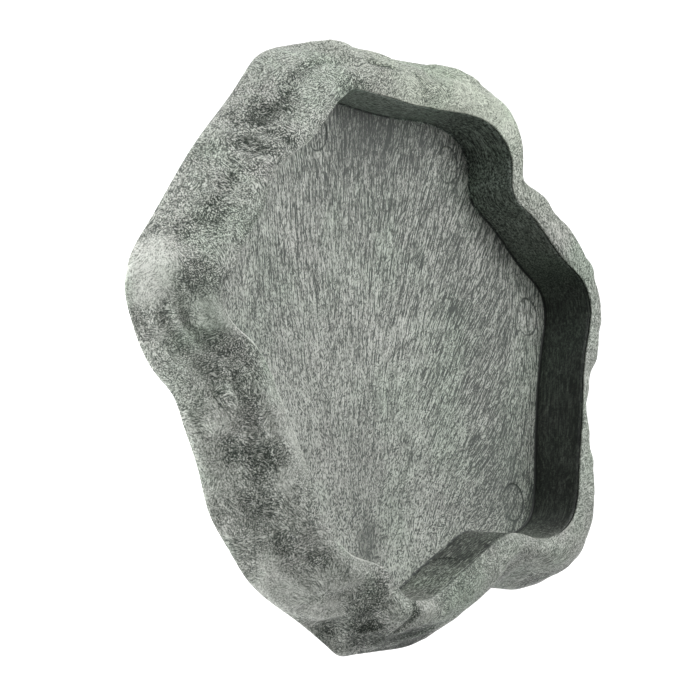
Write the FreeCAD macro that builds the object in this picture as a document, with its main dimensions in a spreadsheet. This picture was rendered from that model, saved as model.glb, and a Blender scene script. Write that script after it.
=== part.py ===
"""Rock-look basin dish: a hollow rock-shaped shell, a smooth basin tray bonded under its rim, and rubber feet.

Millimetres, +Z up. The dish stands on its foot pads at z = 0, and the middle of its outline is on the Z axis.
+X runs along the dish's longest extent.
"""

import FreeCAD, Part

import math
import os

import Sketcher
from FreeCAD import Placement, Rotation, Vector

SIZES = [
    ("total_height", 21.0),
    ("basin_depth", 14.2),
    ("floor_thickness", 2.4),
    ("tray_wall", 2.4),
    ("wall_draft", 1.3),
    ("cove_radius", 2.0),
    ("lip_thickness", 1.2),
    ("rim_ceiling", 2.6),
    ("shell_inset", 3.0),
    ("rebate_clearance", 0.15),
    ("foot_proud", 0.5),
    ("mark_diameter", 10.0),
    ("mark_depth", 0.3),
    ("post_diameter", 13.0),
    ("pad_diameter", 9.5),
    ("pad_thickness", 2.5),
    ("pad_recess", 1.0),
    ("pad_clearance", 0.1),
    ("pad_edge_radius", 0.5),
]

# Pairs of points, clockwise: the rim's inner edge, and the foot of the flank below it on the same rib of the rock.
RIBS = [
    # back: a ridge, then a broad flank to the back right corner
    ((-16, 69), (-4, 83)),
    ((0, 66), (12, 81)),
    ((15, 63), (27, 78)),
    ((35, 60.5), (43, 75.5)),
    ((46, 58), (57, 73.5)),
    ((54, 53.5), (68, 69)),
    ((58, 46.5), (76, 59)),
    # back right notch, then the long straight flank to the right corner
    ((57.5, 38.5), (77, 47)),
    ((64.5, 32), (83, 39.5)),
    ((81, 17.5), (98, 24.5)),
    ((88.5, 11.5), (106, 15)),
    ((90.5, 5), (107.5, 5)),
    ((87, -5.5), (104, -8)),
    # right side to the front right corner
    ((82.5, -19), (96.5, -22.5)),
    ((78, -40), (96.5, -45)),
    ((74.5, -50), (95, -60)),
    ((68, -54.5), (87, -68.5)),
    ((54, -56), (69, -70)),
    # front notch, then the front corner
    ((40.5, -54), (55, -69)),
    ((29, -57.5), (44, -74)),
    ((12, -64), (29, -79)),
    ((1, -68.5), (15, -82)),
    ((-9.5, -69.5), (-1, -82.5)),
    ((-16.5, -66.5), (-14, -82.5)),
    ((-24, -60), (-26, -79)),
    # front left flank, wavy, up to the left corner
    ((-34, -57), (-38, -72.5)),
    ((-46, -51), (-53, -65)),
    ((-53.5, -43), (-64, -56)),
    ((-57.5, -31), (-75, -43)),
    ((-64.5, -17), (-79.5, -29)),
    ((-71, -5), (-86, -16.5)),
    ((-79, 4), (-91, -7.5)),
    ((-88.5, 10), (-103, 4)),
    ((-91.5, 16), (-108, 18)),
    # back left flank, long and nearly straight
    ((-87, 22), (-105, 29)),
    ((-81, 28), (-97, 36)),
    ((-68.5, 38.5), (-83, 47)),
    ((-58, 50), (-70, 57)),
    ((-42, 56), (-54, 67)),
    ((-31, 63), (-40, 75.5)),
    ((-23, 67.5), (-24, 81.5)),
]

RIBS_PER_EDGE = 3

# The flank's profile as (how far out from the rim's inner edge to the foot, height as a share of the shell's).
FLANK = [(1.0, 0.0), (0.86, 0.3), (0.68, 0.62), (0.47, 0.88), (0.36, 0.965), (0.26, 1.0)]
# The cavity under the shell follows the flank's first stations, and ends flat under the rim at this one.
CAVITY_STATIONS = 3
CAVITY_TOP_REACH = 0.47

# The cove between the floor and the wall is a quarter round in this many steps.
COVE_STEPS = 4

# Middles of the posts under the floor. Each post lies below a round mark in the floor and carries a foot pad.
FEET = {
    "foot_pad_back": (-17.5, 58.5),
    "foot_pad_back_right": (46.5, 47),
    "foot_pad_right": (80, 4),
    "foot_pad_front_right": (65, -46),
    "foot_pad_front_left": (-45, -34),
    "foot_pad_left": (-77, 16),
}

doc = FreeCAD.newDocument("basin_dish")
sheet = doc.addObject("Spreadsheet::Sheet", "Sizes")
for row, (alias, value) in enumerate(SIZES, start=1):
    sheet.set(f"A{row}", alias)
    sheet.set(f"B{row}", str(value))
    sheet.setAlias(f"B{row}", alias)
doc.recompute()

# Heights of the horizontal planes, as expressions of the driving dimensions.
FLOOR_TOP = "Sizes.total_height - Sizes.basin_depth"
FLOOR_UNDERSIDE = f"{FLOOR_TOP} - Sizes.floor_thickness"
TRAY_TOP = "Sizes.total_height - Sizes.lip_thickness"
CAVITY_TOP = "Sizes.total_height - Sizes.rim_ceiling"
POST_FOOT = "Sizes.pad_thickness - Sizes.pad_recess"


def size(alias):
    """A driving dimension, read from the sheet."""
    return float(sheet.get(alias))


def flank_height(share):
    """The height at this share of the shell, from its bottom edge to its top."""
    return f"Sizes.foot_proud + {share} * (Sizes.total_height - Sizes.foot_proud)"


def chord_knots(points):
    """Parameters spaced by the distances between the points, once round the outline."""
    knots = [0.0]
    for here, there in zip(points, points[1:] + points[:1]):
        knots.append(knots[-1] + here.distanceToPoint(there))
    return knots


def smooth_outline(points, knots):
    """A smooth closed curve through the points, at the given parameters."""
    curve = Part.BSplineCurve()
    curve.interpolate(Points=points, Parameters=knots, PeriodicFlag=True)
    return curve


def outline_middle(points):
    """The middle of the box around the smooth outline through the points."""
    shape = smooth_outline(points, chord_knots(points)).toShape()
    return shape.optimalBoundingBox().Center


MIDDLE = outline_middle([Vector(*foot, 0) for _, foot in RIBS])
RIM = [Vector(*rim, 0) - MIDDLE for rim, _ in RIBS]
FOOT = [Vector(*foot, 0) - MIDDLE for _, foot in RIBS]
KNOTS = chord_knots(RIM)


def on_ribs(reach):
    """The outline this share of the way out from the rim's inner edge to the foot of the flank."""
    return [rim + (foot - rim) * reach for rim, foot in zip(RIM, FOOT)]


def offset(points, distance):
    """The clockwise outline's points, moved outwards by the distance."""
    moved = []
    for index, point in enumerate(points):
        along = points[(index + 1) % len(points)] - points[index - 1]
        along.normalize()
        moved.append(point + Vector(-along.y, along.x, 0) * distance)
    return moved


def level_sketch(body, name, level):
    """An empty horizontal sketch of the body, at the height that the expression gives."""
    sketch = body.newObject("Sketcher::SketchObject", name)
    ground = next(plane for plane in body.Origin.OriginFeatures if plane.Role == "XY_Plane")
    sketch.AttachmentSupport = [(ground, "")]
    sketch.MapMode = "FlatFace"
    sketch.setExpression("AttachmentOffset.Base.z", level)
    return sketch


def outline_sketch(body, name, points, level):
    """A sketch of one smooth closed outline through the points, as edges that join end to end."""
    sketch = level_sketch(body, name, level)
    for begin in range(0, len(points), RIBS_PER_EDGE):
        edge = smooth_outline(points, KNOTS)
        edge.segment(KNOTS[begin], KNOTS[min(begin + RIBS_PER_EDGE, len(points))])
        sketch.addGeometry(edge, False)
    return sketch


def circles_sketch(body, name, centres, diameter, level):
    """A sketch of equal circles, with their diameter bound to the sheet."""
    sketch = level_sketch(body, name, level)
    for centre in centres:
        circle = sketch.addGeometry(Part.Circle(centre, Vector(0, 0, 1), 1.0), False)
        if circle == 0:
            sketch.addConstraint(Sketcher.Constraint("Diameter", circle, 2.0))
            sketch.setExpression("Constraints[0]", diameter)
        else:
            sketch.addConstraint(Sketcher.Constraint("Equal", 0, circle))
    return sketch


def loft(body, kind, name, sketches, ruled=False):
    """An additive or subtractive loft through the sketches, from the first to the last."""
    feature = body.newObject(f"PartDesign::{kind}", name)
    feature.Profile = sketches[0]
    feature.Sections = sketches[1:]
    feature.Ruled = ruled
    doc.recompute()
    return feature


def prism(body, kind, name, sketch, length, upwards):
    """A pad or a pocket of the sketch, whose length is bound to the sheet."""
    before = body.Shape.Volume if body.Tip else 0.0
    feature = body.newObject(f"PartDesign::{kind}", name)
    feature.Profile = sketch
    feature.setExpression("Length", length)
    feature.Reversed = upwards == (kind == "Pocket")
    doc.recompute()
    grew = body.Shape.Volume - before
    if (grew > 0) != (kind == "Pad") or abs(grew) < 1.0:
        raise RuntimeError(f"{name} changed the volume by {grew:.1f} mm3")
    return feature


def edges_at(shape, height):
    """The names of the shape's edges that lie wholly at this height."""
    names = []
    for number, edge in enumerate(shape.Edges, start=1):
        box = edge.BoundBox
        if abs(box.ZMin - height) < 0.01 and abs(box.ZMax - height) < 0.01:
            names.append(f"Edge{number}")
    return names


def new_body(label):
    """An empty body with its label."""
    body = doc.addObject("PartDesign::Body", label)
    body.Label = label
    return body


def rock_shell():
    """The rock: a thin flared wall with a flat rim, hollow underneath, open in the middle for the tray."""
    body = new_body("rock_shell")
    flank = [
        outline_sketch(body, f"flank_{index}", on_ribs(reach), flank_height(share))
        for index, (reach, share) in enumerate(FLANK)
    ]
    loft(body, "AdditiveLoft", "rock", flank)
    inset = -size("shell_inset")
    cavity = [
        outline_sketch(body, f"cavity_{index}", offset(on_ribs(reach), inset), flank_height(share))
        for index, (reach, share) in enumerate(FLANK[:CAVITY_STATIONS])
    ]
    ceiling = offset(on_ribs(CAVITY_TOP_REACH), inset)
    cavity.append(outline_sketch(body, "cavity_ceiling", ceiling, CAVITY_TOP))
    loft(body, "SubtractiveLoft", "hollow", cavity)
    mouth = outline_sketch(body, "mouth_outline", RIM, "Sizes.total_height")
    prism(body, "Pocket", "mouth", mouth, "Sizes.rim_ceiling", upwards=False)
    reach = size("tray_wall") + size("rebate_clearance")
    rebate = outline_sketch(body, "rebate_outline", offset(RIM, reach), TRAY_TOP)
    depth = "Sizes.rim_ceiling - Sizes.lip_thickness"
    prism(body, "Pocket", "rebate", rebate, depth, upwards=False)
    return body


def basin_tray(centres):
    """The basin: a flat floor, drafted walls that fit the shell's rebate, round marks, and posts for the pads."""
    body = new_body("basin_tray")
    wall = size("tray_wall")
    draft = size("wall_draft")
    outside = [
        outline_sketch(body, "underside", offset(RIM, wall - draft), FLOOR_UNDERSIDE),
        outline_sketch(body, "wall_top", offset(RIM, wall), TRAY_TOP),
    ]
    loft(body, "AdditiveLoft", "block", outside)
    inside = []
    for step in range(COVE_STEPS + 1):
        angle = math.radians(90 * step / COVE_STEPS)
        inset = draft + size("cove_radius") * (1 - math.sin(angle))
        rise = f"{FLOOR_TOP} + Sizes.cove_radius * {1 - math.cos(angle):.4f}"
        inside.append(outline_sketch(body, f"cove_{step}", offset(RIM, -inset), rise))
    inside.append(outline_sketch(body, "basin_mouth", RIM, TRAY_TOP))
    loft(body, "SubtractiveLoft", "basin", inside, ruled=True)
    marks = circles_sketch(body, "mark_circles", centres, "Sizes.mark_diameter", FLOOR_TOP)
    prism(body, "Pocket", "marks", marks, "Sizes.mark_depth", upwards=False)
    posts = circles_sketch(body, "post_circles", centres, "Sizes.post_diameter", POST_FOOT)
    prism(body, "Pad", "posts", posts, f"{FLOOR_UNDERSIDE} - ({POST_FOOT})", upwards=True)
    recess = "Sizes.pad_diameter + 2 * Sizes.pad_clearance"
    recesses = circles_sketch(body, "recess_circles", centres, recess, POST_FOOT)
    prism(body, "Pocket", "recesses", recesses, "Sizes.pad_recess", upwards=True)
    return body


def foot_pad(label, centre):
    """A rubber disc, bonded in its post's recess, with a rounded lower edge."""
    body = new_body(label)
    circle = circles_sketch(body, "pad_circle", [Vector()], "Sizes.pad_diameter", "0 mm")
    disc = prism(body, "Pad", "disc", circle, "Sizes.pad_thickness", upwards=True)
    rounding = body.newObject("PartDesign::Fillet", "lower_edge")
    rounding.Base = (disc, edges_at(disc.Shape, 0.0))
    rounding.setExpression("Radius", "Sizes.pad_edge_radius")
    body.Placement = Placement(centre, Rotation())
    return body


centres = [Vector(*place, 0) - MIDDLE for place in FEET.values()]
pieces = [rock_shell(), basin_tray(centres)]
pieces += [foot_pad(label, centre) for label, centre in zip(FEET, centres)]
doc.recompute()

for item in doc.Objects:
    if "Invalid" in item.State or "Error" in item.State:
        raise RuntimeError(f"{item.Label} is in state {item.State}")
for piece in pieces:
    if piece.Shape.isNull() or not piece.Shape.isValid() or len(piece.Shape.Solids) != 1:
        raise RuntimeError(f"{piece.Label} isn't one valid solid")

os.makedirs("parts", exist_ok=True)
for piece in pieces:
    piece.Shape.exportStep(f"parts/{piece.Label}.step")
    box = piece.Shape.optimalBoundingBox()
    print(
        f"{piece.Label}: volume {piece.Shape.Volume:.0f} mm3,"
        f" x {box.XMin:.1f} to {box.XMax:.1f}, y {box.YMin:.1f} to {box.YMax:.1f},"
        f" z {box.ZMin:.2f} to {box.ZMax:.2f}"
    )
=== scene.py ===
"""Rock-look basin dish in Blender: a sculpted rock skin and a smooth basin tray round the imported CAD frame.

The CAD gives every place and size. The skin and the tray are grids in polar form: one column of points per
bearing round the Z axis, found by casting rays on to the CAD nodes. Lengths in this file are in millimetres
and become metres when a mesh is made. Bearings are in degrees, from +X towards +Y.
"""

import math

import bpy
import numpy as np
from mathutils import Matrix, Vector, noise
from mathutils.bvhtree import BVHTree


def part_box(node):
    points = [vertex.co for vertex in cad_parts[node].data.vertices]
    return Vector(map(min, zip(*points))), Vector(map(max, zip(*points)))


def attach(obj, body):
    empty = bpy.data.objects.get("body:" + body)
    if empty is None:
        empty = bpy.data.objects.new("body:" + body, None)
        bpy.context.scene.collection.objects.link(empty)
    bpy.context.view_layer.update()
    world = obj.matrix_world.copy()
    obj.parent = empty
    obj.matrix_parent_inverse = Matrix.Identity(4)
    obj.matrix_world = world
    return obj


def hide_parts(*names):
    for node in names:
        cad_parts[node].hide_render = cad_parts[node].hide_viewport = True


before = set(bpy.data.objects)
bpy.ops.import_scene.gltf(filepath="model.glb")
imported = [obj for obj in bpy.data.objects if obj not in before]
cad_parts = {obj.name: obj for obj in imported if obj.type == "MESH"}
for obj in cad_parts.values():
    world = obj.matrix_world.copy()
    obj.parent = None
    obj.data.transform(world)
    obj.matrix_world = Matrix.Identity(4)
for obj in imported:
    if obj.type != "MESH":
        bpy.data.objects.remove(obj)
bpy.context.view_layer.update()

MM = 0.001
BEARINGS = 1080

# Rays: where they start beside the dish and above or below it, and how far they keep below a top, above a
# flat underside and off the ceiling of the hollow under the rim.
RAY_START = 300
RAY_START_Z = 100
TOP_MARGIN = 0.02
FLAT_MARGIN = 0.05
CEILING_MARGIN = 0.1

# Rows of the rock skin's grid. The first ones run up the rim's inner edge and aren't rounded.
EDGE_ROWS = 3
CREST_ROWS = 9
FLANK_ROWS = 46
INSIDE_ROWS = 9

# How closely the rows crowd towards the rim's inner edge and towards the top of the flank.
CREST_CROWDING = 1.5
FLANK_CROWDING = 1.45

# Smoothing passes: the profile down the flank and round the dish, and the relief both ways.
PROFILE_ROUNDING = 26
BEARING_ROUNDING = 5
RELIEF_ROUNDING = 2

# The rim's inner edge: its depth below the top, its chamfer and its painted highlight.
RIM_EDGE_DROP = 0.55
RIM_EDGE_DROP_LIMITS = (0.15, 1.15)
RIM_CHAMFER_HEIGHT = 0.25
RIM_CHAMFER_WIDTH = 0.12
RIM_HIGHLIGHT_LEVEL = 0.3

# The flank: its length along the slope, the share of height that the crest adds and how that rises, the
# rounding of creases, and how high over the base the skin's lowest ray passes.
FLANK_SLOPE_LENGTH = 27.0
CREST_SHARE = 0.16
CREST_SHARE_RISE = 1.5
CREASE_ROUNDING = 0.3
SKIN_BASE_LIFT = 0.03

# Height of the ceiling of the hollow under the rim.
CEILING_Z = 18.4

# A lobe or hollow: its rise for a height of 1, the squared distance at which its fall stops, how far out its
# tone ends and over what length it fades. Distances are shares of its half size.
FORM_TOP = 1.3
FORM_CUT = 9
TONE_REACH = 1.35
TONE_FADE = 0.7

# Broad chipped facets: the size of a cell along each axis, how far and how fast its borders stray, how far a
# ridge's slope reaches, the level that counts as flat, and the height.
FACET_SIZE = (19, 19, 13)
FACET_STRAY = 0.25
FACET_STRAY_RATE = 1.3
FACET_REACH = 0.5
FACET_LEVEL = 0.22
FACET_HEIGHT = 1.1

# Relief: rows from the rim's edge over which it sets in, rows that count fully as crest, the share of the
# broad relief that the crest loses, the share of the height over which relief fades at the base, the share of
# the pits left there, and how much the rough relief adds to the tone, as painted light on its bumps and
# painted shade in its dips.
RELIEF_ROWS = 5
CREST_HOLD = 3
CREST_CALM = 0.7
BASE_FADE = 0.08
BASE_PITS = 0.2
ROUGH_PAINTED_SHADING = 0.4

# Fractal noise: the shift for each step of a seed, how fast octaves fade and how much finer each one is.
SEED_SHIFT = (17.3, 9.1, 5.7)
OCTAVE_FADE = 1.0
OCTAVE_STEP = 2.0

# noise.noise_vector follows this seed. Without it, every run gives other facets.
noise.seed_set(1)

# Layers of noise: (height, size of features, octaves, seed).
RIM_DROP_NOISE = (0.18, 14, 3, 4)
RIM_WANDER_NOISE = (0.22, 7, 3, 8)
RIM_HIGHLIGHT_NOISE = (0.8, 20, 3, 21)
STRAY_ALONG_NOISE = (0.30, 10, 3, 11)
STRAY_DOWN_NOISE = (0.30, 10, 3, 12)
BROAD_NOISE = (0.45, 24, 3, 1)
ROUGH_NOISE = (0.30, 7, 3, 2)
PIT_NOISE = (0.12, 2.6, 2, 3)
FLOOR_WAVE = (0.1, 30, 2, 5)
WALL_WAVE = (0.12, 16, 2, 6)
NOISE_RING_RADIUS = 85

# Basin tray. The cove is sharper than the CAD's, and the wall's foot is measured above the CAD's cove.
COVE_RADIUS = 0.5
COVE_ROWS = 5
WALL_ROWS = 12
WALL_FOOT_LIFT = 2.3
OUTSIDE_ROWS = 6
UNDERSIDE_ROWS = 10
UNDERSIDE_SHARES = (0.95, 0.02)

# The floor: a finely divided band with the marks, then the middle, as shares of the radius.
MARK_BAND = 0.34
MARK_BAND_ROWS = 42
FLOOR_MIDDLE = 0.99
FLOOR_MIDDLE_ROWS = 14

# Waves fade in over this many rows from the wall's top and from the floor's edge.
WALL_WAVE_ROWS = 4
FLOOR_WAVE_ROWS = 8

# Round marks in the floor, one over each pad, and one in the front wall.
MARK_RADIUS = 5.0
MARK_DEPTH = 0.3
MARK_EDGE = 0.45
MARK_LINE_WIDTH = 0.4
WALL_MARK_BEARING = -73
WALL_MARK_Z = 11.5
WALL_MARK_RADIUS = 4.5

# Posts under the tray, each with a recess for its pad.
POST_RADIUS = 6.5
POST_TURNS = 64
POST_MIDDLE = 0.01
RECESS_CLEARANCE = 0.1
RECESS_DEPTH = 1.0

# Profiles of a post: (outset, height) of its root against the tray's underside, (inset, height) of its
# rounded foot, and (outset, height) of the mouth of its recess.
ROOT_PROFILE = [(0.6, 0.4), (0.6, 0.0), (0.15, -0.2), (0.0, -0.6)]
FOOT_PROFILE = [(0.0, 0.3), (0.1, 0.08), (0.3, 0.0)]
MOUTH_PROFILE = [(0.2, 0.0), (0.0, 0.15)]

# Limits of the tone that the materials read: darker below zero, paler above.
ROCK_TONE_LIMITS = (-2.0, 1.2)
TRAY_TONE_LIMITS = (-1.8, 1.7)

# Lobes and hollows of the rock: (bearing, share of the height, half length along the rim, half height down
# the flank, height with hollows negative, tone with dark negative). A share over 1 lies on the crest. The
# tone is painted light on most lobes and painted shade in the hollows, over the plastic's own paler and
# darker patches.
FLANK_FORMS = [
    # back left flank: a smooth foot, a chain of dents, and worn lobes above them
    (116, 0.18, 13, 7, 1.9, 0.20),
    (131, 0.16, 13, 6, 0.8, 0.05),
    (147, 0.18, 12, 6, 0.5, 0.0),
    (105, 0.72, 4, 3, -0.6, -0.60),
    (110, 0.62, 6, 3, -0.9, -0.75),
    (117, 0.58, 5, 3, -0.8, -0.40),
    (122, 0.66, 5, 4, -1.3, -0.95),
    (127, 0.48, 5, 6, -1.4, -1.15),
    (133, 0.50, 6, 7, -1.3, -0.65),
    (137.5, 0.62, 4.5, 7, -1.1, -0.95),
    (109, 0.86, 7, 4, 0.8, 0.25),
    (119, 0.88, 7, 4, 0.5, 0.20),
    (126, 0.90, 3, 2.5, 0.5, 0.10),
    (127, 0.76, 4, 3, -0.3, -0.50),
    (132, 0.90, 3, 5, -0.5, -0.75),
    (137.5, 0.92, 3.5, 4.5, -0.9, -0.75),
    (143.5, 0.72, 3, 6, -0.5, -0.50),
    (146, 0.92, 7, 3, 0.6, -0.15),
    (148.5, 0.68, 4.5, 4, -1.2, -0.75),
    (154.5, 0.66, 5, 5.5, -1.2, -0.85),
    (158.5, 0.50, 4.5, 4.5, -0.9, -0.75),
    (159, 0.22, 3, 5, -0.2, -0.20),
    (158, 0.78, 4, 3, 0.3, -0.50),
    (157, 1.06, 7, 2, -0.1, -0.55),
    (142.5, 0.26, 5, 5, -0.2, -0.50),
    (149, 1.10, 5, 1.5, -0.2, -0.75),
    (120, 1.14, 9, 1.5, -0.1, -0.35),
    (130, 1.04, 6, 3, -0.3, -0.30),
    (107, 1.06, 5, 4, -0.3, -0.75),
    (101, 1.09, 5, 3, -0.2, -0.75),
    # left corner
    (166.5, 0.26, 8.5, 8, 1.5, 1.1),
    (167.5, 0.82, 5, 5, -1.6, -0.75),
    (170.5, 0.54, 2.5, 3, -0.3, -0.20),
    (173, 0.45, 4, 2.5, -0.6, -0.50),
    (172.5, 0.70, 4.5, 3, -0.8, -0.35),
    (173, 0.92, 4.5, 3, 0.6, 0.35),
    (168, 1.08, 5, 2, -0.1, -0.50),
    (177.5, 0.84, 4, 4, -1.2, -0.60),
    (178.5, 1.07, 3, 2.5, -0.8, -0.85),
    (177, 0.48, 3, 4, -0.7, -0.55),
    (-178, 0.66, 4, 4, -1.2, -0.60),
    (-178, 0.92, 4, 3, 0.3, -0.35),
    (172.5, 0.14, 4, 3, -0.3, 0.0),
    (170.5, 0.22, 3, 6, 0.3, 0.40),
    # front left flank
    (-174, 0.16, 12, 6, 0.3, -0.05),
    (-160, 0.14, 12, 6, 0.6, 0.30),
    (-144, 0.20, 9, 6, 0.8, -0.05),
    (-174, 0.82, 5, 2.5, -0.8, -0.50),
    (-169, 0.80, 5, 2.5, -0.6, -0.40),
    (-175, 0.42, 4, 3, 0.5, 0.10),
    (-173.5, 0.58, 3, 3, -0.5, -0.45),
    (-168, 0.42, 4, 4, 0.6, 0.45),
    (-163, 0.47, 4, 3.5, -0.6, -0.60),
    (-160.5, 0.45, 2, 3.5, -0.6, -0.50),
    (-159, 0.87, 4, 3, -0.9, -0.65),
    (-158, 0.69, 7, 4, -1.4, -0.95),
    (-152.5, 0.88, 3.5, 2.3, 0.8, 0.65),
    (-150, 0.48, 4, 3, -0.6, -0.40),
    (-149, 0.66, 4.5, 4, -1.1, -0.50),
    (-144, 0.65, 4, 4, -0.4, -0.05),
    (-139.5, 0.62, 4, 4, -0.9, -0.55),
    (-133, 0.84, 4, 3, -0.8, -0.65),
    (-130, 0.58, 4, 4, -0.3, 0.0),
    (-126, 0.74, 6, 5, 0.2, 0.30),
    (-121, 0.90, 4, 4, 0.3, 0.35),
    (-137, 0.36, 5, 4, 1.0, 0.50),
    (-128, 0.26, 12, 7, 1.8, 0.50),
    (-167, 0.98, 9, 3, 0.7, 0.35),
    (-157, 1.08, 7, 3, 0.2, 0.45),
    (-143, 1.08, 5, 3, -0.2, -0.45),
    # front corner
    (-118, 0.40, 5, 6, 1.1, 0.55),
    (-117, 0.80, 4, 4, -0.5, -0.20),
    (-114, 0.46, 2, 2, 0.6, 0.40),
    (-112, 0.80, 5, 6, -0.9, -0.70),
    (-107, 1.12, 6, 2, -0.1, -0.70),
    (-111, 0.28, 4, 6, -1.2, -0.60),
    (-107, 0.60, 6, 5, -1.4, -0.80),
    (-101, 0.40, 7, 7, -0.8, -1.15),
    (-103, 0.93, 3, 4, 0.4, 0.05),
    (-98, 0.94, 1.6, 8, -0.6, -1.0),
    (-92.5, 0.98, 3.0, 3.0, 0.5, 0.5),
    (-92, 0.48, 7, 9, -0.6, -1.35),
    (-86, 0.64, 6, 4, -0.8, -1.00),
    (-81, 0.26, 9, 7, -0.8, -1.40),
    (-86, 0.05, 18, 2, -0.2, -1.00),
    # front right
    (-74, 1.11, 18, 3, -0.1, -0.45),
    (-68, 0.42, 10, 7, -1.2, -0.50),
    (-56, 0.50, 5, 9, -1.4, -0.30),
    (-43, 0.35, 4, 8, -0.9, -0.85),
    (-48, 0.40, 6, 7, 0.3, -0.40),
    (-34, 0.45, 7, 7, 0.6, -0.60),
    # right side
    (-29, 0.60, 6, 8, -1.0, -0.30),
    (-20, 0.40, 9, 6, 0.9, 0.20),
    (-12, 0.50, 9, 5, -1.4, -0.40),
    (-4, 0.30, 8, 8, 0.8, 0.20),
    (5, 0.50, 9, 6, -1.5, -0.40),
    (14, 0.30, 9, 8, 1.1, 0.30),
    (22, 0.36, 8, 5, -0.9, -0.30),
    # back right corner and back flank
    (34, 0.45, 6, 11, -2.0, -0.40),
    (43, 0.45, 8, 9, 0.7, 0.35),
    (47, 1.04, 8, 7, 0.2, 0.65),
    (58, 0.58, 10, 9, 1.6, 0.20),
    (61, 1.04, 10, 6, 0.2, 0.60),
    (76, 0.98, 1.6, 6, -0.3, -0.50),
    (87, 0.76, 7, 3, -1.8, -1.20),
    (76, 0.30, 6, 6, -0.9, -0.30),
    (83, 1.04, 8, 4, 0.3, 0.40),
    (97, 0.93, 5, 3, 0.5, -0.10),
    (80, 0.45, 6, 6, 0.9, 0.20),
    (97.5, 0.50, 3.5, 12, 2.4, 0.60),
    # shoulders of the rim
    (15, 0.90, 10, 6, 1.7, 0.0),
    (25, 0.90, 7, 6, 1.0, 0.0),
    (64, 0.98, 8, 5, 1.5, 0.0),
    (-13, 0.95, 8, 5, -1.0, 0.0),
    (-27, 0.90, 8, 5, 0.5, 0.0),
]

# Soft patches of painted shade over the basin's floor, darkest where the walls and corners shade it: (x, y,
# radius, tone).
FLOOR_SHADE_PATCHES = [
    (0, 54, 26, -0.85),
    (-43, 14, 22, -0.25),
    (45, 25, 30, -0.60),
    (60, -45, 24, -1.30),
    (-8, -36, 24, -0.60),
    (64, -4, 24, -0.70),
    (-10, -55, 5.5, -1.6),
    (-9, -49, 3.5, -1.0),
    (0, 60, 9, -1.2),
    (18, 58, 9, -1.2),
    (36, 54, 9, -0.9),
]

# The same for its wall: painted shade on part of the front wall, and painted light on the back wall, the back
# right corner and the back end of the right wall.
WALL_LIGHT_AND_SHADE_PATCHES = [
    (23, -59, 7, -1.2),
    (35, -57, 11, -1.5),
    (-2, 68, 26, 1.9),
    (76, 24, 15, 1.30),
    (58, 48, 10, 0.50),
]

# Stretches of the rock's foot that swell out, or in with a minus: (bearing, half length, amount).
FOOT_SWELLS = [
    (-156, 14, 1.4),
    (-136, 9, 1.0),
    (-103, 5, 1.0),
    (-41.5, 6, -2.2),
    (-34, 5, 0.8),
    (113, 13, 1.2),
    (170, 6, 0.6),
]

# Stretches of the rim's inner edge where the painted highlight is stronger: (bearing, half length, amount).
RIM_HIGHLIGHT_STRETCHES = [
    (175, 6, 2.6),
    (-169, 9, 0.5),
    (-125, 5, 1.4),
]

# Stretches of the rim's inner edge worn back: (bearing, half length, amount).
RIM_SHIFTS = [
    (-16, 14, 1.2),
    (4, 14, 1.1),
    (-76, 7, 0.5),
]

# Shallow dips in the rim's inner edge: (bearing, half length, depth).
RIM_DIPS = [
    (-124, 7, 0.7),
    (-100, 5, 0.4),
    (-172, 6, 0.35),
    (150, 9, 0.3),
    (97, 6, 0.4),
    (30, 6, 0.4),
    (-45, 5, 0.4),
]


# Rays on to the CAD nodes

def tree_of(name):
    """Ray tree of one CAD node, in millimetres."""
    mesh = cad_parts[name].data
    points = [vertex.co / MM for vertex in mesh.vertices]
    return BVHTree.FromPolygons(points, [tuple(face.vertices) for face in mesh.polygons])


def bearing_directions():
    """Unit vectors in plan, one per bearing."""
    angles = np.arange(BEARINGS) * (2 * math.pi / BEARINGS)
    return angles, np.stack([np.cos(angles), np.sin(angles)], axis=1)


def radius_from_axis(tree, height):
    """Distance from the Z axis to the first surface met on the way out, per bearing."""
    found = []
    for x, y in DIRECTIONS:
        hit = tree.ray_cast(Vector((0, 0, height)), Vector((x, y, 0)))
        found.append(math.hypot(hit[0].x, hit[0].y))
    return np.array(found)


def radius_from_outside(tree, height):
    """Distance from the Z axis to the outermost surface, per bearing."""
    found = []
    for x, y in DIRECTIONS:
        start = Vector((x * RAY_START, y * RAY_START, height))
        hit = tree.ray_cast(start, Vector((-x, -y, 0)))
        found.append(math.hypot(hit[0].x, hit[0].y))
    return np.array(found)


ANGLES, DIRECTIONS = bearing_directions()
SHELL = tree_of("rock_shell")
TRAY = tree_of("basin_tray")
BASE_Z, RIM_Z = (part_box("rock_shell")[i].z / MM for i in (0, 1))
SEAM_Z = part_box("basin_tray")[1].z / MM
POST_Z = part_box("basin_tray")[0].z / MM
FLOOR_Z = TRAY.ray_cast(Vector((0, 0, RAY_START_Z)), Vector((0, 0, -1)))[0].z
UNDERSIDE_Z = TRAY.ray_cast(Vector((0, 0, -RAY_START_Z)), Vector((0, 0, 1)))[0].z
PADS = sorted(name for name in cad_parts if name.startswith("foot_pad"))


def pad_middle(name):
    """Middle of a foot pad in plan."""
    low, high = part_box(name)
    return (low.x + high.x) / 2 / MM, (low.y + high.y) / 2 / MM


# Grids

def smoothed(values, times, axis, wrap):
    """The grid with each point drawn towards its neighbours; the ends stay fixed unless the axis wraps."""
    for _ in range(times):
        around = (np.roll(values, 1, axis) + np.roll(values, -1, axis)) / 2
        mixed = (values + around) / 2
        ends = () if wrap else (0, -1)
        for end in ends:
            place = [slice(None)] * values.ndim
            place[axis] = end
            mixed[tuple(place)] = values[tuple(place)]
        values = mixed
    return values


def polar_points(radii, heights):
    """Points (row, bearing, xyz) from radii and heights given per row and bearing."""
    x = radii * DIRECTIONS[:, 0]
    y = radii * DIRECTIONS[:, 1]
    return np.stack([x, y, heights], axis=2)


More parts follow.
